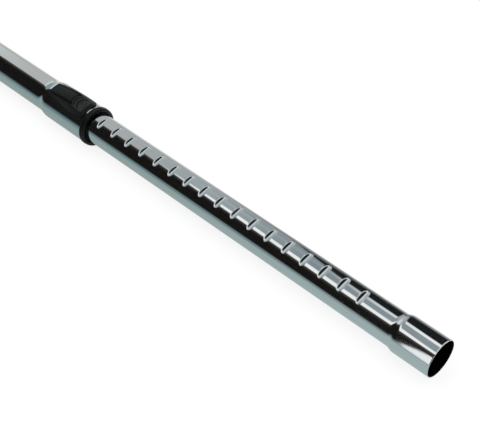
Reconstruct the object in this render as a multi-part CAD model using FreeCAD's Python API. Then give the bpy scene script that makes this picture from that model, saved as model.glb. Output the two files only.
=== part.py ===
# Telescopic suction wand, drawn out. Millimetres.
# X runs along the tube from the handle socket to the tool end, Z points up through the thumb slider.
# The origin is the centre of the handle socket's mouth.
import os
import math
import FreeCAD
import Part

# Tubes
WALL = 0.7
INNER_R = 16.0
OUTER_R = 18.0
BULGE_R = 20.25
SOCKET_BORE_R = 17.6
SOCKET_DEPTH = 45.0
SOCKET_STEP = 4.0
OUTER_LENGTH = 521.0
BULGE_LENGTH = 59.0
BULGE_STEP = 15.0
PLAIN_END = 34.0
NECK_LENGTH = 10.0
FLARE_R = 17.7
FLARE_LENGTH = 35.0

# Notches and roller
NOTCH_COUNT = 19
NOTCH_PITCH = 21.0
NOTCH_DEPTH = 1.9
NOTCH_R = 3.0
ROLLER_R = 2.75
ROLLER_HALF = 6.5
ROLLER_BACK = 23.0
ROLLER_SEAT = 0.1
ROLLER_LIFT = 2.1
ROLLER_GUIDE = 0.15

# Fits
SLIDE_CLEARANCE = 0.3
REST_GAP = 0.05

# Guide sleeve, collar and wiper
SLEEVE_BACK = 2.0
COLLAR_LENGTH = 6.0
COLLAR_R = 21.0
COLLAR_FLANGE = 2.2
COLLAR_GROOVE = 0.6
COLLAR_ROUND = 1.8
COLLAR_LIP_R = 18.6
COLLAR_BORE_R = 16.6
WIPER_LENGTH = 3.2
WIPER_R = 18.6
WIPER_GAP = 0.2

# Stop bush and lip seal on the inner tube
STOP_LENGTH = 23.0
STOP_GAP = 1.0
SEAL_GAP = 1.0
SEAL_LENGTH = 8.0
SEAL_THICK = 0.6
SEAL_LIP_GAP = 0.2

# Thumb slider
SLIDER_LENGTH = 56.5
SLIDER_GAP = 2.5
NOSE_LENGTH = 15.5
SLIDER_TRAVEL = 7.0
WING_ANGLE = 42.0
REAR_ANGLE = 22.0
CREASE_ANGLE = 29.5
WING_THICK = 0.6
CREST_RISE = 6.4
CROWN_DROP = 1.8
REAR_RISE = 1.3
SLIDER_SKIN = 1.3
CAVITY_HALF = 5.3
CAVITY_GAP = 1.0
HUMP_REAR_HALF = 6.2
HUMP_HALF = 7.4
GROOVE_DEPTH = 1.1
GROOVE_WIDTH = 1.0
RIB_COUNT = 3
RIB_BACK = 4.0
RIB_FIRST_R = 7.5
RIB_PITCH = 4.2
RIB_WIDTH = 1.3
RIB_DEPTH = 0.7
PAD_LENGTH = 8.0
PAD_EDGE = 0.2
PAD_HALF = 6.3
PAD_GAP = 0.3

# Spring bracket, window and springs
BRACKET_THICK = 0.8
BRACKET_HALF = 5.0
TAB_HEIGHT = 1.8
WINDOW_FRONT = 8.0
WINDOW_HALF = 7.0
WINDOW_GAP = 0.5
SPRING_LENGTH = 11.2
SPRING_R = 1.1
SPRING_WIRE = 0.35
SPRING_OFFSET = 3.4
SPRING_TURNS = 5

# Places along the tube, worked out from the sizes above
BULGE_START = OUTER_LENGTH - BULGE_LENGTH
SLEEVE_START = BULGE_START + SLEEVE_BACK
STOP_START = SLEEVE_START - STOP_GAP - STOP_LENGTH
SEAL_START = STOP_START - SEAL_GAP - SEAL_LENGTH
INNER_START = SEAL_START - SEAL_GAP
ROLLER_X = OUTER_LENGTH - ROLLER_BACK
NECK_START = ROLLER_X + (NOTCH_COUNT - 1) * NOTCH_PITCH + PLAIN_END
WAND_LENGTH = NECK_START + NECK_LENGTH + FLARE_LENGTH
SLIDER_END = OUTER_LENGTH - SLIDER_GAP
SLIDER_START = SLIDER_END - SLIDER_LENGTH
SLIDER_MID = SLIDER_END - NOSE_LENGTH
PAD_START = ROLLER_X - PAD_LENGTH
WINDOW_START = PAD_START - SLIDER_TRAVEL - WINDOW_GAP
WINDOW_END = ROLLER_X + WINDOW_FRONT
BRACKET_START = PAD_START - SPRING_LENGTH - BRACKET_THICK

# Heights and radii that follow
ROLLER_Z = INNER_R - NOTCH_DEPTH + ROLLER_SEAT + ROLLER_R
SLIDER_BORE_R = BULGE_R + SLIDE_CLEARANCE
BRACKET_R = BULGE_R + BRACKET_THICK


def vec(x, y, z):
    return FreeCAD.Vector(x, y, z)


def turned(edges):
    # A closed outline in the XZ plane, turned about the tube axis
    face = Part.Face(Part.Wire(edges))
    return face.revolve(vec(0, 0, 0), vec(1, 0, 0), 360)


def lines(points, closed=True):
    run = points + points[:1] if closed else points
    return [Part.makeLine(vec(a[0], 0, a[1]), vec(b[0], 0, b[1])) for a, b in zip(run, run[1:])]


def ring(x0, x1, r0, r1):
    return turned(lines([(x0, r0), (x1, r0), (x1, r1), (x0, r1)]))


def s_curve(x0, r0, x1, r1):
    # A smooth step from one radius to the next
    curve = Part.BezierCurve()
    mid = (x0 + x1) / 2
    curve.setPoles([vec(x0, 0, r0), vec(mid, 0, r0), vec(mid, 0, r1), vec(x1, 0, r1)])
    return curve.toShape()


def stepped_solid(steps, end, drop=0.0):
    # A solid of straight stretches (start, radius) joined by smooth steps of given length
    edges = []
    x, r = steps[0][0], steps[0][1] - drop
    edges.append(Part.makeLine(vec(x, 0, 0), vec(x, 0, r)))
    for start, radius, length in steps[1:]:
        edges.append(Part.makeLine(vec(x, 0, r), vec(start, 0, r)))
        edges.append(s_curve(start, r, start + length, radius - drop))
        x, r = start + length, radius - drop
    edges.append(Part.makeLine(vec(x, 0, r), vec(end, 0, r)))
    edges.append(Part.makeLine(vec(end, 0, r), vec(end, 0, 0)))
    edges.append(Part.makeLine(vec(end, 0, 0), vec(steps[0][0], 0, 0)))
    return turned(edges)


def box(x0, x1, half, z0, z1):
    return Part.makeBox(x1 - x0, 2 * half, z1 - z0, vec(x0, -half, z0))


def cross_bar(x, z, radius, half):
    return Part.makeCylinder(radius, 2 * half, vec(x, -half, z), vec(0, 1, 0))


def outer_tube():
    steps = [
        (0.0, SOCKET_BORE_R + WALL),
        (SOCKET_DEPTH, OUTER_R, SOCKET_STEP),
        (BULGE_START - BULGE_STEP, BULGE_R, BULGE_STEP),
    ]
    tube = stepped_solid(steps, OUTER_LENGTH).cut(stepped_solid(steps, OUTER_LENGTH, WALL))
    return tube.cut(box(WINDOW_START, WINDOW_END, WINDOW_HALF, 0, 2 * BULGE_R))


def inner_tube():
    # Each notch is pressed in, so the wall keeps its thickness behind it
    steps = [(INNER_START, INNER_R), (NECK_START, FLARE_R, NECK_LENGTH)]
    skin = stepped_solid(steps, WAND_LENGTH)
    core = stepped_solid(steps, WAND_LENGTH, WALL)
    z = INNER_R - NOTCH_DEPTH + NOTCH_R
    places = [ROLLER_X + i * NOTCH_PITCH for i in range(NOTCH_COUNT)]
    skin = skin.cut([cross_bar(x, z, NOTCH_R, INNER_R) for x in places])
    core = core.cut([cross_bar(x, z, NOTCH_R + WALL, INNER_R) for x in places])
    return skin.cut(core)


def guide_sleeve():
    sleeve = ring(SLEEVE_START, OUTER_LENGTH, INNER_R + SLIDE_CLEARANCE, BULGE_R - WALL - REST_GAP)
    reach = ROLLER_R + ROLLER_GUIDE
    slot = box(ROLLER_X - reach, ROLLER_X + reach, ROLLER_HALF + SLIDE_CLEARANCE, 0, BULGE_R)
    return sleeve.cut(slot)


def end_collar():
    # A flange on the tube's end, a groove, and a rounded nose with a chamfered mouth
    x0 = OUTER_LENGTH
    x1 = x0 + COLLAR_LENGTH
    groove = x0 + COLLAR_FLANGE
    pocket = x0 + WIPER_LENGTH
    mouth = x1 - (COLLAR_LIP_R - COLLAR_BORE_R)
    profile = [
        (x0, WIPER_R + REST_GAP),
        (x0, COLLAR_R),
        (groove, COLLAR_R),
        (groove, COLLAR_R - COLLAR_GROOVE),
        (groove + 2 * COLLAR_GROOVE, COLLAR_R - COLLAR_GROOVE / 4),
        (x1 - COLLAR_ROUND, COLLAR_R - COLLAR_GROOVE / 4),
        (x1 - COLLAR_ROUND / 3, COLLAR_R - COLLAR_ROUND / 3),
        (x1, COLLAR_LIP_R),
        (mouth, COLLAR_BORE_R),
        (pocket, COLLAR_BORE_R),
        (pocket, WIPER_R + REST_GAP),
    ]
    return turned(lines(profile))


def wiper_ring():
    return ring(OUTER_LENGTH, OUTER_LENGTH + WIPER_LENGTH, INNER_R + WIPER_GAP, WIPER_R)


def stop_bush():
    end = SLEEVE_START - STOP_GAP
    outside = OUTER_R - WALL - SLIDE_CLEARANCE
    return ring(STOP_START, end, INNER_R + REST_GAP, outside)


def lip_seal():
    # A soft ring whose lip leans out to the outer tube's bore
    x1 = SEAL_START + SEAL_LENGTH
    inside = INNER_R + REST_GAP
    lip = OUTER_R - WALL - SEAL_LIP_GAP
    return turned(lines([
        (SEAL_START, lip - SEAL_THICK),
        (SEAL_START, lip),
        (x1, inside + SEAL_THICK),
        (x1, inside),
    ]))


def lock_roller():
    return cross_bar(ROLLER_X, ROLLER_Z, ROLLER_R, ROLLER_HALF)


def spring_bracket():
    # A sheet angle on the bulge behind the window, with an upright tab that the springs push on
    sheet = ring(BRACKET_START, WINDOW_START - WINDOW_GAP, BULGE_R, BRACKET_R)
    tab = ring(BRACKET_START, BRACKET_START + BRACKET_THICK, BULGE_R, BRACKET_R + TAB_HEIGHT)
    reach = box(BRACKET_START, WINDOW_START, BRACKET_HALF, BULGE_R / 2, BRACKET_R + TAB_HEIGHT)
    return sheet.fuse(tab).common(reach).removeSplitter()


def spring(side):
    # A coil of six-sided wire between the bracket's tab and the slider's pad
    reach = SPRING_LENGTH - SPRING_WIRE
    z = math.sqrt(BRACKET_R ** 2 - SPRING_OFFSET ** 2) + SPRING_R + REST_GAP
    radius = SPRING_R - SPRING_WIRE / 2
    steps = 10 * SPRING_TURNS
    rings = []
    for i in range(steps + 1):
        turn = 2 * math.pi * SPRING_TURNS * i / steps
        x = BRACKET_START + BRACKET_THICK + SPRING_WIRE / 2 + reach * i / steps
        corners = []
        for k in range(7):
            swing = math.pi * k / 3
            out = radius + SPRING_WIRE / 2 * math.cos(swing)
            along = x + SPRING_WIRE / 2 * math.sin(swing)
            corners.append(vec(along, side * SPRING_OFFSET + out * math.cos(turn), z + out * math.sin(turn)))
        rings.append(Part.makePolygon(corners))
    return Part.makeLoft(rings, True, True)


def section(x, points):
    # A closed outline across the wand, the same on both sides; heights are above the bulge's top
    right = [vec(x, y, BULGE_R + rise) for y, rise in points]
    left = [vec(x, -y, BULGE_R + rise) for y, rise in reversed(points) if y > 0]
    return Part.makePolygon(right + left + right[:1])


def round_bulge(radius, angle):
    # A point beside the bulge, as half-width and height above the bulge's top
    swing = math.radians(angle)
    return radius * math.sin(swing), radius * math.cos(swing) - BULGE_R


def slider_form():
    # A crowned back with steep sides, rising towards the front, on thin wings that hug the bulge
    foot = round_bulge(SLIDER_BORE_R - WING_THICK, WING_ANGLE)
    edge = round_bulge(SLIDER_BORE_R + WING_THICK, WING_ANGLE)
    brow = CREST_RISE - CROWN_DROP
    rear = [(0, REAR_RISE), round_bulge(BULGE_R + REAR_RISE, 14), round_bulge(BULGE_R + REAR_RISE, 24), edge, foot]
    full = [(0, brow), (HUMP_HALF, brow), round_bulge(SLIDER_BORE_R + 1.6 * WING_THICK, CREASE_ANGLE), edge, foot]
    crown = [(0, CREST_RISE), (HUMP_HALF / 2, CREST_RISE - CROWN_DROP / 6)]
    crown += [(HUMP_HALF * 0.82, CREST_RISE - CROWN_DROP / 2), (HUMP_HALF, brow), (HUMP_HALF, 0)]
    slim = [(y * HUMP_REAR_HALF / HUMP_HALF, rise) for y, rise in crown]
    forms = []
    for back, front in ((rear, full), (slim, crown)):
        forms.append(Part.makeLoft([section(SLIDER_START, back), section(SLIDER_MID, front)], True, True))
        forms.append(Part.makeLoft([section(SLIDER_MID, front), section(SLIDER_END, front)], True, True))
    return forms[0].fuse(forms[1:]).common(side_form()).removeSplitter()


def side_form():
    # The side outline: a long rise and a short nose above, and a curved edge below, lowest over the roller
    def at(share, rise):
        return vec(SLIDER_START + share * SLIDER_LENGTH, 0, BULGE_R + rise)

    def low(share, depth):
        angle = REAR_ANGLE + depth * (WING_ANGLE - REAR_ANGLE)
        return at(share, round_bulge(SLIDER_BORE_R, angle)[1])

    lip = at(0.99, REAR_RISE + 0.3)
    rear = at(0.0, REAR_RISE)
    top = Part.BSplineCurve()
    over_tab = vec(BRACKET_START, 0, BRACKET_R + TAB_HEIGHT + SLIDE_CLEARANCE + SLIDER_SKIN)
    shares = ((0.48, 0.92), (0.62, 1.0), (0.74, 0.94), (0.85, 0.7), (0.93, 0.45))
    top.interpolate([rear, over_tab] + [at(share, CREST_RISE * height) for share, height in shares] + [lip])
    below = Part.BSplineCurve()
    depths = ((1.0, 0.0), (0.97, 0.5), (0.88, 0.85), (0.7, 1.0), (0.5, 0.87), (0.25, 0.5), (0.0, 0.0))
    below.interpolate([low(share, depth) for share, depth in depths])
    front = Part.makePolygon([lip, at(1.0, REAR_RISE - 0.6), low(1.0, 0.0)])
    back = Part.makeLine(low(0.0, 0.0), rear)
    edges = [top.toShape()] + front.Edges + [below.toShape(), back]
    solid = Part.Face(Part.Wire(edges)).extrude(vec(0, 4 * BULGE_R, 0))
    solid.translate(vec(0, -2 * BULGE_R, 0))
    return solid


def side_grooves():
    # A narrow line on each side of the back, running out at the thumb ribs
    cuts = []
    for side in (1, -1):
        wires = []
        for x, half, width, rise in (
            (SLIDER_START - 1, HUMP_REAR_HALF, GROOVE_WIDTH / 2, REAR_RISE - GROOVE_DEPTH),
            (SLIDER_MID - 1, HUMP_HALF, GROOVE_WIDTH, CREST_RISE - CROWN_DROP - GROOVE_DEPTH),
        ):
            corners = [(half, rise), (half + width, rise), (half + width, rise + 3), (half, rise + 3)]
            run = [vec(x, side * y, BULGE_R + z) for y, z in corners]
            wires.append(Part.makePolygon(run + run[:1]))
        cuts.append(Part.makeLoft(wires, True, True))
    return cuts


def thumb_ribs(form):
    # Curved grooves round the thumb rest, all of one depth
    sunk = form.copy()
    sunk.translate(vec(0, 0, -RIB_DEPTH))
    skin = form.cut(sunk)
    grooves = []
    low = vec(SLIDER_END - RIB_BACK, 0, BULGE_R)
    tall = 2 * CREST_RISE
    for i in range(RIB_COUNT):
        radius = RIB_FIRST_R + i * RIB_PITCH
        wide = Part.makeCylinder(radius + RIB_WIDTH, tall, low, vec(0, 0, 1))
        grooves.append(wide.cut(Part.makeCylinder(radius, tall, low, vec(0, 0, 1))))
    reach = box(SLIDER_MID - NOSE_LENGTH / 2, SLIDER_END - RIB_BACK, HUMP_HALF, BULGE_R, BULGE_R + tall)
    return skin.common(Part.makeCompound(grooves)).common(reach)


def thumb_slider():
    # The formed saddle, bored for the bulge, hollow inside, with the pad that holds the roller down
    form = slider_form()
    ribs = thumb_ribs(form)
    bore = Part.makeCylinder(SLIDER_BORE_R, SLIDER_LENGTH + 2, vec(SLIDER_START - 1, 0, 0), vec(1, 0, 0))
    inside = form.copy()
    inside.translate(vec(0, 0, -SLIDER_SKIN))
    room = box(BRACKET_START - CAVITY_GAP, SLIDER_END - 2 * RIB_BACK, CAVITY_HALF, 0, BULGE_R + CREST_RISE)
    reach = ROLLER_R + SLIDE_CLEARANCE
    lifted = ROLLER_Z + ROLLER_R + ROLLER_LIFT + PAD_GAP
    bay = box(ROLLER_X - reach, ROLLER_X + SLIDER_TRAVEL + reach, ROLLER_HALF + SLIDE_CLEARANCE, 0, lifted)
    pad_z = ROLLER_Z + ROLLER_R + PAD_GAP
    pad = box(PAD_START, ROLLER_X + PAD_EDGE, PAD_HALF, pad_z, BULGE_R + CREST_RISE)
    slider = form.cut([bore, ribs] + side_grooves()).cut([inside.common(room), bay])
    return slider.fuse(pad.common(inside)).removeSplitter()


PIECES = {
    "outer_tube": outer_tube(),
    "inner_tube": inner_tube(),
    "guide_sleeve": guide_sleeve(),
    "end_collar": end_collar(),
    "wiper_ring": wiper_ring(),
    "stop_bush": stop_bush(),
    "lip_seal": lip_seal(),
    "lock_roller": lock_roller(),
    "spring_bracket": spring_bracket(),
    "spring_left": spring(1),
    "spring_right": spring(-1),
    "thumb_slider": thumb_slider(),
}

os.makedirs("parts", exist_ok=True)
for name, shape in PIECES.items():
    print(name, shape.isValid(), len(shape.Solids), round(shape.Volume, 1))
    shape.exportStep("parts/" + name + ".step")
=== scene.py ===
import math

import bmesh
import bpy
from mathutils import Matrix, Vector


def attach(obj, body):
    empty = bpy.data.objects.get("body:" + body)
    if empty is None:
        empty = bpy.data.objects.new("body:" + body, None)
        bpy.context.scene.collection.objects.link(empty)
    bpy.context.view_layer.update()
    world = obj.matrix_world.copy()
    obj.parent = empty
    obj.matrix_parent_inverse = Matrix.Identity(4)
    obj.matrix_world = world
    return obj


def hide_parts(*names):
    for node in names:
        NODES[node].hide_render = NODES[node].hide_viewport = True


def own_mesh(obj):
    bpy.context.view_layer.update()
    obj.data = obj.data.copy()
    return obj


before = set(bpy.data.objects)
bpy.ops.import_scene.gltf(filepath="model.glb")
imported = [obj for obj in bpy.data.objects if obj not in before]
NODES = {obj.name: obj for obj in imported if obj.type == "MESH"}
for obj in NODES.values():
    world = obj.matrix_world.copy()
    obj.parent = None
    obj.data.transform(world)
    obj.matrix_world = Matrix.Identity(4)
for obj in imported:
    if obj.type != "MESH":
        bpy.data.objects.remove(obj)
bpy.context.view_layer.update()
MM = 0.001

# Sizes of the wand in millimetres, with places along X counted from the handle's mouth

# Tubes
WALL = 0.7
INNER_R = 16.0
OUTER_R = 18.0
BULGE_R = 20.25
SOCKET_R = 18.3
SOCKET_DEPTH = 45.0
SOCKET_STEP = 4.0
BULGE_START = 462.0
BULGE_STEP = 15.0
OUTER_END = 521.0
INNER_START = 430.0
NECK_START = 910.0
NECK_LENGTH = 10.0
FLARE_R = 17.7
WAND_END = 955.0

# Notches, and the width and depth of the rolled shoulders that pressing leaves on both sides of them
NOTCH_COUNT = 19
NOTCH_PITCH = 21.0
NOTCH_FIRST = 498.0
NOTCH_DEPTH = 1.9
NOTCH_R = 3.0
NOTCH_AXIS_Z = INNER_R - NOTCH_DEPTH + NOTCH_R
NOTCH_SPREAD_DEG = 36.0
LEAST_LIP = 0.9
LIP_SOFT = 0.3
REAR_ROLL = (0.95, 0.17)
FRONT_ROLL = (0.45, 0.2)

# Window under the slider, and collar
WINDOW = (482.5, 506.0)
WINDOW_HALF = 7.0
COLLAR_END = 527.0
COLLAR_R = 21.0

# Slider: its outside lines are (place, value) pairs along X, in millimetres over the bulge or in degrees round it
SLIDER_START = 462.0
SLIDER_END = 518.5
SLIDER_BORE_R = 20.55
BACK_RISE = [(462.0, 1.2), (470.0, 2.7), (478.0, 4.15), (489.1, 5.85), (497.0, 6.35), (503.8, 6.0),
             (510.0, 4.6), (514.0, 3.3), (515.6, 2.6), (517.4, 1.3), (518.5, 0.6)]
EDGE_DEG = [(462.0, 22.0), (469.0, 33.0), (476.1, 39.5), (490.2, 46.0), (501.5, 47.5), (511.7, 43.5),
            (516.8, 33.5), (518.5, 22.5)]
CREASE_DEG = [(462.0, 20.5), (476.0, 26.5), (490.0, 31.5), (503.0, 34.0), (512.0, 32.0), (516.5, 27.0),
              (518.5, 21.5)]
BACK_END = 501.0
BACK_HALF = 6.2
BACK_GAIN = 1.9
BACK_GAIN_LENGTH = 36.0
NOSE_START = 510.0
NOSE_CUT = 1.3
CREST_RISE = 6.4
CROWN_REAR = 0.3
CROWN_GAIN = 1.0
CROWN_POWER = 2.4
SIDE_SWELL = 0.25
WING_SWELL = 0.1
CREASE_THICK = 0.95
WING_THICK = 0.55
LEAST_SKIN = 0.45

# Slider: grooves, with each size at the rear and its growth towards the front, thumb ribs and thumb dish
GROOVE_START = 463.0
GROOVE_END = 502.0
GROOVE_GROWTH = 38.5
GROOVE_INSET = (0.45, 0.75)
GROOVE_DEPTH = (1.1, 0.7)
GROOVE_HALF = (0.45, 0.7)
RIB_CENTRE = 514.5
RIB_RADII = (8.1, 12.3, 16.5)
RIB_DEPTH = 0.9
RIB_HALF = 0.85
RIB_REACH = 7.2
DISH_X = 511.2
DISH_LONG = 4.4
DISH_WIDE = 6.3
DISH_DEPTH = 0.75

# Slider: the rooms in its underside, as spans along X, half-widths and heights
CAVITY = (477.0, 510.5)
CAVITY_HALF = 5.3
CAVITY_SKIN = 1.25
CAVITY_CROWN = 0.4
PAD = (490.0, 498.2)
PAD_HALF = 6.3
PAD_Z = 20.0
BAY = (494.95, 508.05)
BAY_HALF = 6.8
BAY_Z = 22.1
ROOM_EDGE = 0.01

# Return springs
SPRING_START = 478.8
SPRING_LENGTH = 11.2
SPRING_R = 1.1
SPRING_WIRE = 0.35
SPRING_TURNS = 5

# Floor
FLOOR_Z = -21.0
FLOOR_SPAN = 6000.0


# Nodes and materials

def linear(hex_colour):
    # An sRGB hex colour as linear RGBA
    parts = [int(hex_colour[i:i + 2], 16) / 255 for i in (1, 3, 5)]
    return [c / 12.92 if c <= 0.04045 else ((c + 0.055) / 1.055) ** 2.4 for c in parts] + [1.0]


def add(tree, kind, settings=None, links=None):
    # A node with its settings, and links from other nodes' outputs to its inputs
    node = tree.nodes.new(kind)
    for key, value in (settings or {}).items():
        if isinstance(key, str) and hasattr(node, key):
            setattr(node, key, value)
        else:
            node.inputs[key].default_value = value
    for key, output in (links or {}).items():
        tree.links.new(output, node.inputs[key])
    return node


def ramp(tree, value, stops):
    # A colour that follows a value through (place, hex colour) stops
    node = add(tree, "ShaderNodeValToRGB", {}, {"Fac": value})
    elements = node.color_ramp.elements
    while len(elements) > 1:
        elements.remove(elements[-1])
    elements[0].position = stops[0][0]
    elements[0].color = linear(stops[0][1])
    for place, colour in stops[1:]:
        elements.new(place).color = linear(colour)
    return node.outputs[0]


def spread(tree, value, low, high, first=0.0, last=1.0):
    # A value between low and high, spread from first to last
    settings = {"From Min": low, "From Max": high, "To Min": first, "To Max": last}
    return add(tree, "ShaderNodeMapRange", settings, {"Value": value}).outputs[0]


def reckon(tree, operation, *terms):
    # A sum on terms that are numbers or other nodes' outputs
    settings, links = {"operation": operation}, {}
    for socket, term in enumerate(terms):
        (settings if isinstance(term, float) else links)[socket] = term
    return add(tree, "ShaderNodeMath", settings, links).outputs[0]


def mixed(tree, share, first, second):
    # Two colours mixed by a share: each is a hex colour or another node's output
    settings, links = {"data_type": "RGBA"}, {0: share}
    for socket, colour in ((6, first), (7, second)):
        if isinstance(colour, str):
            settings[socket] = linear(colour)
        else:
            links[socket] = colour
    return add(tree, "ShaderNodeMix", settings, links).outputs[2]


def grained(name, dark, light, per_metre, detail=2.0, metallic=0.0, roughness=0.5):
    # A material whose colour follows a fine grain, with the grain's fineness given along X, Y and Z
    material = bpy.data.materials.new(name)
    material.use_nodes = True
    tree = material.node_tree
    shader = tree.nodes["Principled BSDF"]
    shader.inputs["Metallic"].default_value = metallic
    shader.inputs["Roughness"].default_value = roughness
    place = add(tree, "ShaderNodeTexCoord")
    scaled = add(tree, "ShaderNodeMapping", {"Scale": per_metre}, {"Vector": place.outputs["Object"]})
    grain = add(tree, "ShaderNodeTexNoise", {"Scale": 1.0, "Detail": detail}, {"Vector": scaled.outputs[0]})
    tint = ramp(tree, grain.outputs["Fac"], [(0.3, dark), (0.7, light)])
    tree.links.new(tint, shader.inputs["Base Color"])
    return material, shader, grain.outputs["Fac"]


def even_grain(size_mm):
    return (1 / (size_mm * MM),) * 3


def chrome_plate():
    # Bright chrome over drawn steel tube: a cool mirror with faint drawing lines along the tube
    material, shader, lines = grained("chrome_plated_steel_polished", "#e2e6e7", "#ecefef", (20.0, 900.0, 900.0),
                                      metallic=1.0)
    tree = material.node_tree
    tree.links.new(spread(tree, lines, 0.0, 1.0, 0.035, 0.075), shader.inputs["Roughness"])
    return material


def moulded_plastic(name, dark, light, roughness, grain_mm, gloss):
    # Plastic moulded against a fine sparked tool: soft highlights broken by a tiny grain
    material, shader, grain = grained(name, dark, light, even_grain(grain_mm), 3.0, roughness=roughness)
    tree = material.node_tree
    bumps = add(tree, "ShaderNodeBump", {"Strength": 0.06, "Distance": 0.00005}, {"Height": grain})
    tree.links.new(bumps.outputs[0], shader.inputs["Normal"])
    shader.inputs["IOR"].default_value = 1.52
    shader.inputs["Specular IOR Level"].default_value = gloss
    return material


CHROME = chrome_plate()
# The unplated inside of a drawn tube: dull and a little brown with oil, streaked along the tube; its near-black
# tone is painted shade for the inside of the tube
BARE_STEEL_PAINTED_SHADE = grained("steel_drawn_bare_painted_shade", "#1d1917", "#2e2825", (30.0, 400.0, 400.0), 3.0, 1.0, 0.55)[0]
# The slider's thumb dish, which fingers rub smooth: the brightest black on the wand
SATIN_ABS = moulded_plastic("abs_moulded_satin_black", "#0c0d0d", "#131414", 0.33, 0.35, 0.42)
# The slider's long back, duller than the dish
DULL_ABS = moulded_plastic("abs_moulded_dull_black", "#0c0d0d", "#131414", 0.4, 0.35, 0.17)
# The slider's steep sides keep the tool's coarse spark texture, so they stay dark when seen along the face
COARSE_ABS = moulded_plastic("abs_moulded_coarse_black", "#0c0d0d", "#131414", 0.5, 0.35, 0.27)
# The collar and the sliding pieces: smooth and a little deeper in tone than the slider
SMOOTH_POM = moulded_plastic("pom_moulded_smooth_black", "#08090a", "#0e1011", 0.3, 0.5, 0.27)
# The lip seal: flat black with hardly a highlight
SEAL_RUBBER = moulded_plastic("rubber_moulded_soft_black", "#151515", "#202020", 0.7, 0.4, 0.27)
# Ground and oiled steel of the lock: grey with a fine mottle
STEEL = grained("spring_steel_ground", "#8b8f92", "#b4b8ba", even_grain(0.4), metallic=1.0, roughness=0.3)[0]
# Wool felt: a dull, fibrous grey
FELT = grained("wool_felt_pressed", "#2a2a2a", "#4a4a4a", (1800.0, 1800.0, 1800.0), 5.0, roughness=0.95)[0]


# Meshes

def even(first, last, count):
    # Evenly spaced values from first to last
    return [first + (last - first) * k / (count - 1) for k in range(count)]


def placed(name, mesh, sharp_deg):
    # A smooth-shaded mesh as an object in the scene, with its creases kept sharp
    mesh.shade_smooth()
    mesh.set_sharp_from_angle(angle=math.radians(sharp_deg))
    piece = bpy.data.objects.new(name, mesh)
    bpy.context.scene.collection.objects.link(piece)
    return piece


def clean(work, dist):
    # Welds a mesh's seams and turns its faces outwards
    bmesh.ops.remove_doubles(work, verts=work.verts, dist=dist)
    bmesh.ops.dissolve_degenerate(work, edges=work.edges, dist=1e-7)
    bmesh.ops.recalc_face_normals(work, faces=work.faces)


def finish_mesh(name, vertices, faces, material, sharp_deg=30.0):
    # A piece from millimetre points
    mesh = bpy.data.meshes.new(name)
    mesh.from_pydata([tuple(c * MM for c in v) for v in vertices], [], faces)
    work = bmesh.new()
    work.from_mesh(mesh)
    clean(work, 1e-6)
    work.to_mesh(mesh)
    work.free()
    mesh.materials.append(material)
    return placed(name, mesh, sharp_deg)


def s_step(x0, r0, x1, r1, count=24):
    # Points of a smooth step in radius, as the tube's swaging leaves it
    points = []
    for t in even(0.0, 1.0, count + 1):
        across = 1.5 * (1 - t) ** 2 * t + 1.5 * (1 - t) * t ** 2 + t ** 3
        rise = 3 * (1 - t) * t ** 2 + t ** 3
        points.append((x0 + (x1 - x0) * across, r0 + (r1 - r0) * rise))
    return points


def turned_points(profile, angles):
    return [(x, r * math.sin(a), r * math.cos(a)) for x, r in profile for a in angles]


def grid_faces(rows, columns, closed_rows=False, skip=None, base=0):
    # Quads of a turned grid whose columns close on themselves
    faces = []
    for i in range(rows if closed_rows else rows - 1):
        for j in range(columns):
            if skip and skip(i, j):
                continue
            a, b = i * columns, ((i + 1) % rows) * columns
            k = (j + 1) % columns
            faces.append((base + a + j, base + a + k, base + b + k, base + b + j))
    return faces


def round_angles(half, near_count, far_count):
    # Angles round the tube: one count across the top, up to half on each side, and another over the rest
    return even(-half, half, near_count + 1) + even(half, 2 * math.pi - half, far_count + 1)[1:-1]


# Inner tube

def notch_angles():
    # Close together across the notches, wider elsewhere
    return round_angles(math.radians(NOTCH_SPREAD_DEG), 48, 60)


def soft_least(a, b, soft):
    # The smaller of two heights, with the corner between them rounded
    blend = max(soft - abs(a - b), 0.0) / soft
    return min(a, b) - blend * blend * soft / 4


def notch_rows(lip, fine):
    # Places along X over one pitch, close together at the notch's two lips
    floor = lip - 0.5
    if fine:
        side = [floor / 3, floor * 2 / 3, floor]
        side += [lip + d for d in (-0.25, -0.1, 0.0, 0.2, 0.45, 0.75, 1.05, 1.35, 1.6, 2.0)] + [6.0]
    else:
        side = [floor / 2, floor] + [lip + d for d in (0.0, 0.5, 1.0, 1.6)]
    side.append(NOTCH_PITCH / 2)
    return [-x for x in reversed(side)] + [0.0] + side


def notch_segment(drop):
    # One pitch of tube wall with a notch pressed across its top, centred on X = 0
    radius = INNER_R - drop
    press = NOTCH_R + drop
    runs = []
    for a in notch_angles():
        y, z = radius * math.sin(a), radius * math.cos(a)
        dip = press ** 2 - (NOTCH_AXIS_Z - z) ** 2
        reach = math.sqrt(max(dip, 0.0)) if z > 0 else 0.0
        lip = max(reach, LEAST_LIP)
        run = []
        for x in notch_rows(lip, drop == 0):
            floor = NOTCH_AXIS_Z - math.sqrt(press ** 2 - x * x) if abs(x) < press else 2 * INNER_R
            wide, deep = REAR_ROLL if x < 0 else FRONT_ROLL
            out = min(max((abs(x) - lip) / wide, 0.0), 1.0)
            roll = deep * min(reach / 1.5, 1.0) * (1 - out) ** 2
            run.append((x, y, soft_least(z - roll, floor, LIP_SOFT)))
        runs.append(run)
    rows = len(runs[0])
    return [run[i] for i in range(rows) for run in runs], grid_faces(rows, len(runs))


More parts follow.
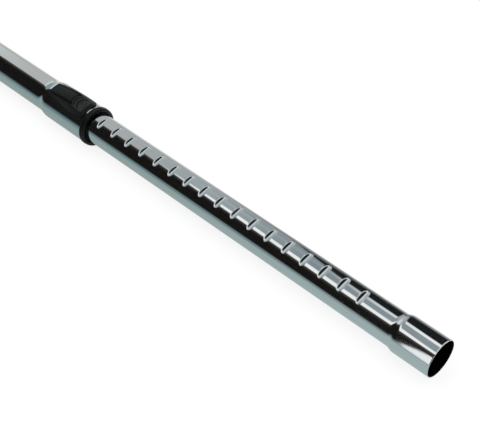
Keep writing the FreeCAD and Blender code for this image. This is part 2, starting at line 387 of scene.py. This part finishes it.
def repeat_tree():
    # Repeats a piece of tube along X and welds the repeats into one wall
    tree = bpy.data.node_groups.new("notch_row", "GeometryNodeTree")
    face = tree.interface
    face.new_socket("Geometry", in_out="INPUT", socket_type="NodeSocketGeometry")
    sockets = {
        "count": face.new_socket("Notch count", in_out="INPUT", socket_type="NodeSocketInt"),
        "first": face.new_socket("First notch", in_out="INPUT", socket_type="NodeSocketVector"),
        "pitch": face.new_socket("Notch pitch", in_out="INPUT", socket_type="NodeSocketVector"),
        "finish": face.new_socket("Finish", in_out="INPUT", socket_type="NodeSocketMaterial"),
    }
    face.new_socket("Geometry", in_out="OUTPUT", socket_type="NodeSocketGeometry")
    start = add(tree, "NodeGroupInput")
    line = add(tree, "GeometryNodeMeshLine", {"mode": "OFFSET"}, {
        "Count": start.outputs["Notch count"],
        "Start Location": start.outputs["First notch"],
        "Offset": start.outputs["Notch pitch"],
    })
    copies = add(tree, "GeometryNodeInstanceOnPoints", {}, {
        "Points": line.outputs[0],
        "Instance": start.outputs["Geometry"],
    })
    real = add(tree, "GeometryNodeRealizeInstances", {}, {"Geometry": copies.outputs[0]})
    weld = add(tree, "GeometryNodeMergeByDistance", {"Distance": 1e-6}, {"Geometry": real.outputs[0]})
    coat = add(tree, "GeometryNodeSetMaterial", {}, {
        "Geometry": weld.outputs[0],
        "Material": start.outputs["Finish"],
    })
    add(tree, "NodeGroupOutput", {}, {0: coat.outputs[0]})
    return tree, {name: socket.identifier for name, socket in sockets.items()}


def repeated(piece, tree, sockets):
    # The notch row as a plain mesh
    change = piece.modifiers.new("notch_row", "NODES")
    change.node_group = tree
    change[sockets["count"]] = NOTCH_COUNT
    change[sockets["first"]] = (NOTCH_FIRST * MM, 0.0, 0.0)
    change[sockets["pitch"]] = (NOTCH_PITCH * MM, 0.0, 0.0)
    change[sockets["finish"]] = CHROME
    graph = bpy.context.evaluated_depsgraph_get()
    mesh = bpy.data.meshes.new_from_object(piece.evaluated_get(graph))
    bpy.data.objects.remove(piece)
    return mesh


def inner_profile(drop):
    # The inner tube's wall before and after the notch row, with spare rows that keep the long faces' shading even
    side = 1 if drop == 0 else -1
    tube, flare = INNER_R - drop, FLARE_R - drop
    low = NOTCH_FIRST - NOTCH_PITCH / 2
    high = NOTCH_FIRST + (NOTCH_COUNT - 0.5) * NOTCH_PITCH
    before = [(x, tube) for x in (INNER_START, 460.0, low)]
    after = [(high, tube), (900.0, tube)]
    after += s_step(NECK_START, tube, NECK_START + NECK_LENGTH, flare)
    after += [(x, flare) for x in (940.0, WAND_END - 0.7, WAND_END - 0.25)]
    after += [(WAND_END - 0.07, flare - 0.07 * side), (WAND_END, flare - 0.22 * side)]
    return before, after


def inner_tube_shell():
    # Outside and inside walls with the notch row, joined at both ends
    angles = notch_angles()
    columns = len(angles)
    tree, sockets = repeat_tree()
    whole = bmesh.new()

    def lay(points, rows):
        verts = [whole.verts.new([c * MM for c in p]) for p in points]
        return [whole.faces.new([verts[k] for k in face]) for face in grid_faces(rows, columns)]

    rims = []
    for drop in (0.0, WALL):
        points, faces = notch_segment(drop)
        segment = finish_mesh("segment", points, faces, CHROME)
        whole.from_mesh(repeated(segment, tree, sockets))
        before, after = inner_profile(drop)
        for profile in (before, after):
            lay(turned_points(profile, angles), len(profile))
        if drop == 0:
            outside = len(whole.faces)
        rims.append([turned_points(before[:1], angles), turned_points(after[-1:], angles)])
    whole.faces.ensure_lookup_table()
    # The inside wall takes the bare steel, whose near-black tone is painted shade
    for face in whole.faces[outside:]:
        face.material_index = 1
    for outer_rim, inner_rim in zip(*rims):
        lay(outer_rim + inner_rim, 2)
    clean(whole, 2e-6)
    mesh = bpy.data.meshes.new("inner_tube_shell")
    mesh.materials.append(CHROME)
    mesh.materials.append(BARE_STEEL_PAINTED_SHADE)
    whole.to_mesh(mesh)
    whole.free()
    return placed("inner_tube_shell", mesh, 40)


# Outer tube

def outer_profile(drop):
    # The outer tube's wall, with spare rows that keep the long faces' shading even
    side = 1 if drop == 0 else -1
    socket, tube, bulge = SOCKET_R - drop, OUTER_R - drop, BULGE_R - drop
    points = [(0.0, socket - 0.2 * side), (0.1, socket - 0.06 * side)]
    points += [(x, socket) for x in (0.3, 0.8, 20.0)]
    points += s_step(SOCKET_DEPTH, socket, SOCKET_DEPTH + SOCKET_STEP, tube)
    points += [(x, tube) for x in (120.0, 200.0, 280.0, 360.0, 430.0)]
    points += s_step(BULGE_START - BULGE_STEP, tube, BULGE_START, bulge)
    points += [(x, bulge) for x in (470.0, WINDOW[0], 490.0, 498.0, WINDOW[1], 514.0, OUTER_END)]
    return points


def outer_tube_shell():
    # Outside and inside walls, with the window under the slider left open
    wide = 24
    angles = round_angles(math.asin(WINDOW_HALF / BULGE_R), wide, 140)
    columns = len(angles)
    outside, inside = outer_profile(0.0), outer_profile(WALL)
    rows = len(outside)
    shift = rows * columns
    first, last = [[x for x, r in outside].index(place) for place in WINDOW]

    def gap(i, j):
        return first <= i < last and j < wide

    def between(a, b):
        return a, b, b + shift, a + shift

    faces = grid_faces(rows, columns, skip=gap) + grid_faces(rows, columns, skip=gap, base=shift)
    for i in (0, rows - 1):
        faces += [between(i * columns + j, i * columns + (j + 1) % columns) for j in range(columns)]
    for i in (first, last):
        faces += [between(i * columns + j, i * columns + j + 1) for j in range(wide)]
    for j in (0, wide):
        faces += [between(i * columns + j, (i + 1) * columns + j) for i in range(first, last)]
    points = turned_points(outside, angles) + turned_points(inside, angles)
    piece = finish_mesh("outer_tube_shell", points, faces, CHROME)
    # The inside wall takes the bare steel, whose near-black tone is painted shade
    piece.data.materials.append(BARE_STEEL_PAINTED_SHADE)
    for face in piece.data.polygons:
        middle = face.center
        if middle.y * face.normal.y + middle.z * face.normal.z < -0.5 * math.hypot(middle.y, middle.z):
            face.material_index = 1
    return piece


# Collar ring

def collar_ring():
    # A flange, a groove line and a rolled front lip round a chamfered mouth
    x0, x1, r = OUTER_END, COLLAR_END, COLLAR_R
    flange = [(0.0, 2.35), (0.0, 0.4), (0.1, 0.12), (0.35, 0.0), (1.85, 0.0), (2.1, 0.1), (2.22, 0.4)]
    groove = [(2.3, 0.62), (2.5, 0.7), (2.7, 0.62), (2.8, 0.45), (3.0, 0.28), (3.3, 0.22)]
    mouth = [(0.05, 2.5), (0.25, 2.75), (1.85, 4.25), (2.0, 4.38)]
    seat = [(2.75, 4.4), (2.8, 4.35), (2.8, 2.4), (2.85, 2.35)]
    outline = [(x0 + x, r - depth) for x, depth in flange + groove]
    for turn in even(0.0, math.pi / 2, 11):
        outline.append((x1 - 2.0 + 2.0 * math.sin(turn), r - 2.2 + 1.95 * math.cos(turn)))
    outline += [(x1 - x, r - depth) for x, depth in mouth + seat]
    columns = 180
    angles = [2 * math.pi * j / columns for j in range(columns)]
    faces = grid_faces(len(outline), columns, True)
    return finish_mesh("collar_ring", turned_points(outline, angles), faces, SMOOTH_POM, 35)


# Thumb slider

def smooth_through(points, x):
    # A smooth curve through (place, value) pairs, without overshoot
    for (x0, v0), (x1, v1), i in zip(points, points[1:], range(len(points))):
        if x <= x1 or i == len(points) - 2:
            break
    slopes = []
    for k in (i, i + 1):
        if k in (0, len(points) - 1):
            near = points[max(k - 1, 0):k + 2]
            slopes.append((near[1][1] - near[0][1]) / (near[1][0] - near[0][0]))
            continue
        back = (points[k][1] - points[k - 1][1]) / (points[k][0] - points[k - 1][0])
        on = (points[k + 1][1] - points[k][1]) / (points[k + 1][0] - points[k][0])
        slopes.append(0.0 if back * on <= 0 else 2 * back * on / (back + on))
    run = x1 - x0
    t = min(max((x - x0) / run, 0.0), 1.0)
    return ((1 + 2 * t) * (1 - t) ** 2 * v0 + t * (1 - t) ** 2 * run * slopes[0]
            + t * t * (3 - 2 * t) * v1 + t * t * (t - 1) * run * slopes[1])


def bump(offset, half):
    # 1 in the middle, falling smoothly to 0 at the given half-width
    t = min(abs(offset) / half, 1.0)
    return (1 - t * t) ** 2


def fade(value, length):
    # 0 up to where the value is 0, rising to 1 over the given length
    return min(max(value / length, 0.0), 1.0)


def polar(radius, degrees):
    # A point beside the tube as half-width and height
    return radius * math.sin(math.radians(degrees)), radius * math.cos(math.radians(degrees))


def back_half(x):
    # Half the width of the slider's back, which widens forwards and narrows again at the nose
    gain = BACK_GAIN * min((x - SLIDER_START) / BACK_GAIN_LENGTH, 1.0)
    return BACK_HALF + gain - NOSE_CUT * max((x - NOSE_START) / (SLIDER_END - NOSE_START), 0.0) ** 2


def slider_section(x):
    # Half a section of the slider's outside at X: the crowned back, the steep side, then the thin wing
    rise = smooth_through(BACK_RISE, x)
    half = back_half(x)
    drop = CROWN_REAR + CROWN_GAIN * min(rise / CREST_RISE, 1.0)
    brow = (half, BULGE_R + rise - drop)
    crease = polar(SLIDER_BORE_R + CREASE_THICK, smooth_through(CREASE_DEG, x))
    foot = polar(SLIDER_BORE_R + WING_THICK, smooth_through(EDGE_DEG, x))
    section = [(half * u, BULGE_R + rise - drop * u ** CROWN_POWER) for u in even(0.0, 1.0, 51)[:-1]]
    side, wing = even(0.0, 1.0, 17)[:-1], even(0.0, 1.0, 15)
    for start, end, shares, swell in ((brow, crease, side, SIDE_SWELL), (crease, foot, wing, WING_SWELL)):
        for t in shares:
            push = swell * 4 * t * (1 - t)
            section.append([a + (b - a) * t + push for a, b in zip(start, end)])
    return section


def slider_detail(x, y):
    # How far the back is sunk at a place: groove lines, thumb ribs and the thumb dish
    along = fade(x - GROOVE_START, GROOVE_GROWTH)
    ends = fade(GROOVE_END - x, 0.9) * fade(x - GROOVE_START, 2.0)
    inset, depth, half = [rear + growth * along for rear, growth in (GROOVE_INSET, GROOVE_DEPTH, GROOVE_HALF)]
    sunk = depth * ends * bump(y - back_half(x) + inset, half)
    reach = math.hypot(x - RIB_CENTRE, y)
    ends = fade(RIB_REACH - y, 0.8) * fade(RIB_CENTRE - 1.5 - x, 1.5)
    sunk += sum(RIB_DEPTH * ends * bump(reach - radius, RIB_HALF) for radius in RIB_RADII)
    return sunk + DISH_DEPTH * bump(math.hypot((x - DISH_X) / DISH_LONG, y / DISH_WIDE), 1.0)


def slider_inside(x, y):
    # Height of the slider's underside over the bore: the spring room, the roller bay and the pad between them
    z = math.sqrt(SLIDER_BORE_R ** 2 - y * y)
    if PAD[0] < x < PAD[1] and y < PAD_HALF:
        return PAD_Z
    if CAVITY[0] < x < CAVITY[1] and y < CAVITY_HALF:
        z = max(z, BULGE_R + smooth_through(BACK_RISE, x) - CAVITY_CROWN * (y / WINDOW_HALF) ** 2 - CAVITY_SKIN)
    if BAY[0] < x < BAY[1] and y < BAY_HALF:
        z = max(z, BAY_Z)
    return z


def slider_ring(x):
    # A closed ring of points round the slider at X: over the outside, then back along the underside
    section = slider_section(x)
    outside = []
    for y, z in section:
        least = math.sqrt(SLIDER_BORE_R ** 2 - y * y) + LEAST_SKIN
        outside.append((y, max(z - slider_detail(x, y), least)))
    rim = SLIDER_BORE_R * section[-1][0] / (SLIDER_BORE_R + WING_THICK)
    under = even(0.0, CAVITY_HALF - ROOM_EDGE, 21)
    under += even(CAVITY_HALF + ROOM_EDGE, PAD_HALF - ROOM_EDGE, 11)
    under += even(PAD_HALF + ROOM_EDGE, BAY_HALF - ROOM_EDGE, 7)
    under += even(BAY_HALF + ROOM_EDGE, rim, len(section) - len(under))
    inside = [(y, slider_inside(x, y)) for y in under]
    over = [(x, -y, z) for y, z in reversed(outside)] + [(x, y, z) for y, z in outside[1:]]
    return over + [(x, y, z) for y, z in reversed(inside)] + [(x, -y, z) for y, z in inside[1:]]


def thumb_slider_shell():
    # The whole saddle as one closed skin: outside, underside, and the edge between them
    stops = CAVITY + PAD + BAY
    places = [x for x in even(SLIDER_START, SLIDER_END, 151) if min(abs(x - stop) for stop in stops) > 0.1]
    places = sorted(places + [stop + d for stop in stops for d in (-ROOM_EDGE, ROOM_EDGE)])
    rings = [slider_ring(x) for x in places]
    columns = len(rings[0])
    faces = grid_faces(len(rings), columns)
    for base in (0, (len(rings) - 1) * columns):
        for j in range(columns // 2 - 1):
            k = columns - 1 - j
            faces.append((base + j, base + j + 1, base + k - 1, base + k))
    flat = [point for ring in rings for point in ring]
    piece = finish_mesh("thumb_slider_shell", flat, faces, SATIN_ABS, 50)
    piece.data.materials.append(COARSE_ABS)
    piece.data.materials.append(DULL_ABS)
    for face in piece.data.polygons:
        x, y = face.center.x / MM, face.center.y / MM
        if abs(y) > back_half(x):
            face.material_index = 1
        elif x < BACK_END:
            face.material_index = 2
    return piece


# Return springs

def return_spring(name, middle):
    # A coil of round wire between the bracket's tab and the slider's pad
    steps, sides = 240, 12
    half = SPRING_WIRE / 2
    points = []
    for i in range(steps + 1):
        turn = 2 * math.pi * SPRING_TURNS * i / steps
        x = SPRING_START + half + (SPRING_LENGTH - SPRING_WIRE) * i / steps
        for k in range(sides):
            swing = 2 * math.pi * k / sides
            out = SPRING_R - half + half * math.cos(swing)
            y, z = middle[0] + out * math.cos(turn), middle[1] + out * math.sin(turn)
            points.append((x + half * math.sin(swing), y, z))
    faces = grid_faces(steps + 1, sides)
    faces += [tuple(range(sides)), tuple(range(steps * sides, (steps + 1) * sides))]
    return finish_mesh(name, points, faces, STEEL, 60)


# Pieces on their bodies, and finishes of the solids that stay in view

def dress(piece, body, node):
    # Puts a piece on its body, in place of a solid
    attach(piece, body)
    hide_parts(node)


for node in ("spring_left", "spring_right"):
    corners = [NODES[node].matrix_world @ Vector(corner) for corner in NODES[node].bound_box]
    middle = [sum(corner[k] for corner in corners) / 8 / MM for k in (1, 2)]
    coil = return_spring(node + "_coil", middle)
    dress(coil, "outer", node)
    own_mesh(coil)
dress(collar_ring(), "outer", "end_collar")
dress(thumb_slider_shell(), "slider", "thumb_slider")
dress(inner_tube_shell(), "inner", "inner_tube")
dress(outer_tube_shell(), "outer", "outer_tube")

NODE_FINISH = {
    "guide_sleeve": SMOOTH_POM,
    "stop_bush": SMOOTH_POM,
    "lip_seal": SEAL_RUBBER,
    "wiper_ring": FELT,
    "lock_roller": STEEL,
    "spring_bracket": STEEL,
}
for node, material in NODE_FINISH.items():
    NODES[node].data.materials.clear()
    NODES[node].data.materials.append(material)


# Camera, floor and light

def photo_camera():
    # The photo's camera, fitted to the tube's outline and the notch row
    data = bpy.data.cameras.new("photo_camera")
    data.sensor_width = 36.0
    data.lens = 73.55
    data.clip_end = 50.0
    camera = bpy.data.objects.new("photo_camera", data)
    right = Vector((0.71057886, 0.68938861, -0.14078718))
    up = Vector((-0.47913109, 0.6206178, 0.62069876))
    back = Vector((0.51527768, -0.3735999, 0.7713054))
    turn = Matrix((right, up, back)).transposed().to_4x4()
    camera.matrix_world = Matrix.Translation((1.191384, -0.334211, 0.692447)) @ turn
    bpy.context.scene.collection.objects.link(camera)
    bpy.context.scene.camera = camera


def pale_floor():
    # A white sweep with a faint shadow. The chrome sees it graded instead: cool and grey in front of the wand,
    # pale behind it, and dark behind its tool end
    span, z = FLOOR_SPAN * MM, FLOOR_Z * MM
    mesh = bpy.data.meshes.new("floor")
    mesh.from_pydata([(-span, -span, z), (span, -span, z), (span, span, z), (-span, span, z)], [], [(0, 1, 2, 3)])
    floor = bpy.data.objects.new("floor", mesh)
    bpy.context.scene.collection.objects.link(floor)
    material = bpy.data.materials.new("white_paper_sweep")
    material.use_nodes = True
    tree = material.node_tree
    paper = tree.nodes["Principled BSDF"]
    paper.inputs["Base Color"].default_value = linear("#f4f4f4")
    paper.inputs["Roughness"].default_value = 0.9
    place = add(tree, "ShaderNodeTexCoord").outputs["Object"]
    axes = add(tree, "ShaderNodeSeparateXYZ", {}, {0: place})
    x, y = axes.outputs["X"], axes.outputs["Y"]

    front = ramp(tree, spread(tree, y, -0.25, 0.0), [
        (0.0, "#71888d"), (0.42, "#879c9f"), (0.7, "#93a7a6"), (0.88, "#99a7a4")])
    front = mixed(tree, spread(tree, x, 0.5, 0.88), front, "#abbabb")
    away_from = spread(tree, y, 0.0, 0.4)
    pale = ramp(tree, away_from, [
        (0.08, "#f0f1f0"), (0.14, "#e9eae8"), (0.2, "#cdd0cd"), (0.375, "#b6b8b6"), (0.875, "#b0b3b1")])
    dark = ramp(tree, away_from, [
        (0.08, "#eff1f0"), (0.14, "#c7c9c8"), (0.2, "#a2a6a5"), (0.375, "#6b6f6f"), (0.875, "#25282a")])
    slant = reckon(tree, "MULTIPLY_ADD", y, 0.3, x)
    behind = mixed(tree, spread(tree, slant, 0.57, 0.78), pale, dark)
    shade = mixed(tree, spread(tree, y, -0.002, 0.002), front, behind)
    mirrored = add(tree, "ShaderNodeEmission", {"Strength": 1.0}, {"Color": shade})

    # The camera sees mostly plain white, and nothing else once the shadow has ended
    white = add(tree, "ShaderNodeEmission", {"Strength": 1.0, "Color": linear("#ffffff")})
    away = add(tree, "ShaderNodeVectorMath", {"operation": "DISTANCE", 1: (0.5, 0.0, z)}, {0: place})
    ray = add(tree, "ShaderNodeLightPath")
    share = spread(tree, away.outputs["Value"], 0.7, 1.6, 0.8, 1.0)
    share = reckon(tree, "MULTIPLY", ray.outputs["Is Camera Ray"], share)
    plain = add(tree, "ShaderNodeMixShader", {}, {0: share, 1: paper.outputs[0], 2: white.outputs[0]})
    both = add(tree, "ShaderNodeMixShader", {}, {
        0: ray.outputs["Is Glossy Ray"], 1: plain.outputs[0], 2: mirrored.outputs[0]})
    tree.links.new(both.outputs[0], tree.nodes["Material Output"].inputs["Surface"])
    mesh.materials.append(material)


def studio_world():
    # A white room that the camera sees, and the studio that the chrome sees: a pale end wall, a grey back wall,
    # a long dark flag in front with a strip light at its edge, and a dark curtain behind the tool end
    world = bpy.data.worlds.new("studio")
    world.use_nodes = True
    bpy.context.scene.world = world
    tree = world.node_tree
    room = tree.nodes["Background"]
    room.inputs["Color"].default_value = linear("#ffffff")
    room.inputs["Strength"].default_value = 1.0
    place = add(tree, "ShaderNodeTexCoord")
    axes = add(tree, "ShaderNodeSeparateXYZ", {}, {0: place.outputs["Generated"]})
    ahead = axes.outputs["X"]
    swing = reckon(tree, "ARCTAN2", axes.outputs["Y"], axes.outputs["Z"])

    def over(low, high, first=0.0, last=1.0):
        # A value that runs from first to last between two places along the studio
        return spread(tree, ahead, low, high, first, last)

    def edge(low, high, first_deg, last_deg):
        # The angle round the wand of an edge that drifts along the studio
        return over(low, high, math.radians(first_deg), math.radians(last_deg))

    def shifted(angle, degrees):
        return reckon(tree, "ADD", angle, math.radians(degrees))

    def beyond(angle, soft_deg):
        # 0 below an edge and 1 above it, with a soft step
        half = math.radians(soft_deg) / 2
        settings = {"interpolation_type": "SMOOTHSTEP", "From Min": -half, "From Max": half}
        offset = reckon(tree, "SUBTRACT", swing, angle)
        return add(tree, "ShaderNodeMapRange", settings, {"Value": offset}).outputs[0]

    def opposite(share):
        return reckon(tree, "SUBTRACT", 1.0, share)

    def below(angle, soft_deg):
        return opposite(beyond(angle, soft_deg))

    def all_of(first, *others):
        for other in others:
            first = reckon(tree, "MULTIPLY", first, other)
        return first

    # The end wall and the back wall
    colour = ramp(tree, over(-1.0, 1.0), [
        (0.0, "#82929a"), (0.075, "#9aaab0"), (0.095, "#dde4e6"), (0.115, "#dde4e6"), (0.14, "#bfc0bf"),
        (0.18, "#b4b6b6"), (0.225, "#a3adb1"), (0.28, "#88949a"), (0.345, "#959ea3"), (0.375, "#959ea3"),
        (0.4, "#ffffff"), (0.51, "#ffffff"), (0.57, "#46504f"), (0.7, "#262c2d")])
    before_mouth = opposite(over(-0.27, -0.22))

    # The light streak along the notches, and the curtain behind it
    streak = reckon(tree, "ADD", edge(-0.45, -0.39, 48, 34), edge(-0.39, -0.31, 0, -4))
    line = all_of(beyond(shifted(streak, -7), 6), below(shifted(streak, 8), 6),
                  over(-0.43, -0.33, 0.1, 1.0), over(-0.57, -0.54), before_mouth)
    colour = mixed(tree, line, colour, "#fbfcfc")
    curtain = reckon(tree, "ADD", edge(-0.49, -0.415, 110, 47), edge(-0.4, -0.31, 0, -7))
    colour = mixed(tree, all_of(beyond(curtain, 5), over(-0.49, -0.46), before_mouth), colour, "#1d1e1f")

    # The strip light, and the flag below it with a faint glow at its top
    strip = all_of(below(edge(-0.52, -0.31, 11, -12), 4), over(-0.6, -0.555), opposite(over(-0.2, -0.1)))
    colour = mixed(tree, strip, colour, "#ffffff")
    flag_top = edge(-0.65, -0.4, 10, -24)
    glow = mixed(tree, beyond(shifted(flag_top, -10), 20), "#171615", "#4b4643")
    colour = mixed(tree, below(flag_top, 4), colour, glow)

    # The light wedge under the tool end, and the floor's edge far below
    wedge = all_of(below(edge(-0.342, -0.302, -76, -44), 10), over(-0.344, -0.335), before_mouth)
    colour = mixed(tree, wedge, colour, "#ffffff")
    ground = mixed(tree, over(-0.68, -0.38), "#71888d", "#abbabb")
    colour = mixed(tree, below(edge(-1.0, 1.0, -86, -86), 20), colour, ground)

    studio = add(tree, "ShaderNodeBackground", {"Strength": 1.0}, {"Color": colour})
    ray = add(tree, "ShaderNodeLightPath")
    both = add(tree, "ShaderNodeMixShader", {}, {
        0: ray.outputs["Is Glossy Ray"], 1: room.outputs[0], 2: studio.outputs[0]})
    tree.links.new(both.outputs[0], tree.nodes["World Output"].inputs["Surface"])


def soft_lamp(name, place, target, size, power):
    # A wide lamp that the chrome doesn't mirror
    data = bpy.data.lights.new(name, "AREA")
    data.shape = "RECTANGLE"
    data.size, data.size_y = size
    data.energy = power
    lamp = bpy.data.objects.new(name, data)
    lamp.location = place
    lamp.visible_glossy = False
    lamp.rotation_euler = (Vector(target) - Vector(place)).to_track_quat("-Z", "Y").to_euler()
    bpy.context.scene.collection.objects.link(lamp)


photo_camera()
pale_floor()
studio_world()
soft_lamp("key", (0.75, -0.15, 2.0), (0.55, 0, 0), (2.4, 2.0), 20.0)

bpy.context.scene.view_settings.view_transform = "Standard"
